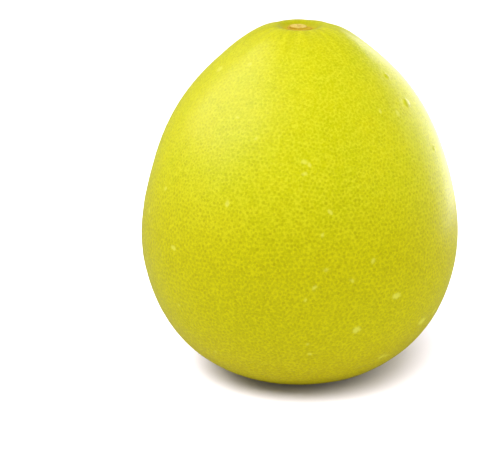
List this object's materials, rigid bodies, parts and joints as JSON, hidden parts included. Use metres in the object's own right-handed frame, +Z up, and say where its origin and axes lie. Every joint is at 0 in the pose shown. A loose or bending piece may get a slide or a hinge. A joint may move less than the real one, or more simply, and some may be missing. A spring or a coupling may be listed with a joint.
{
  "type": "pomelo",
  "caption": "Whole pomelo, broadest low down and narrowing to a blunt neck, with a woody stalk button sunk in a shallow hollow at the top; stands on a flat spot.",
  "frame": {"origin": "on the surface that the fruit stands on, below the middle of the fruit", "axes": "+Z up from the blossom end to the stalk, along the fruit's length; the stalk button leans towards -X; seen in the picture from -Y"},
  "size_m": [0.15, 0.15, 0.1673],
  "materials": {
    "rind": null,
    "stalk_wood": "dry cut stalk, pale tan in the middle with a brown calyx rim"
  },
  "bodies": {
    "root": {"pomelo_fruit": "rind", "stem_button": "stalk_wood"}
  },
  "joints": []
}
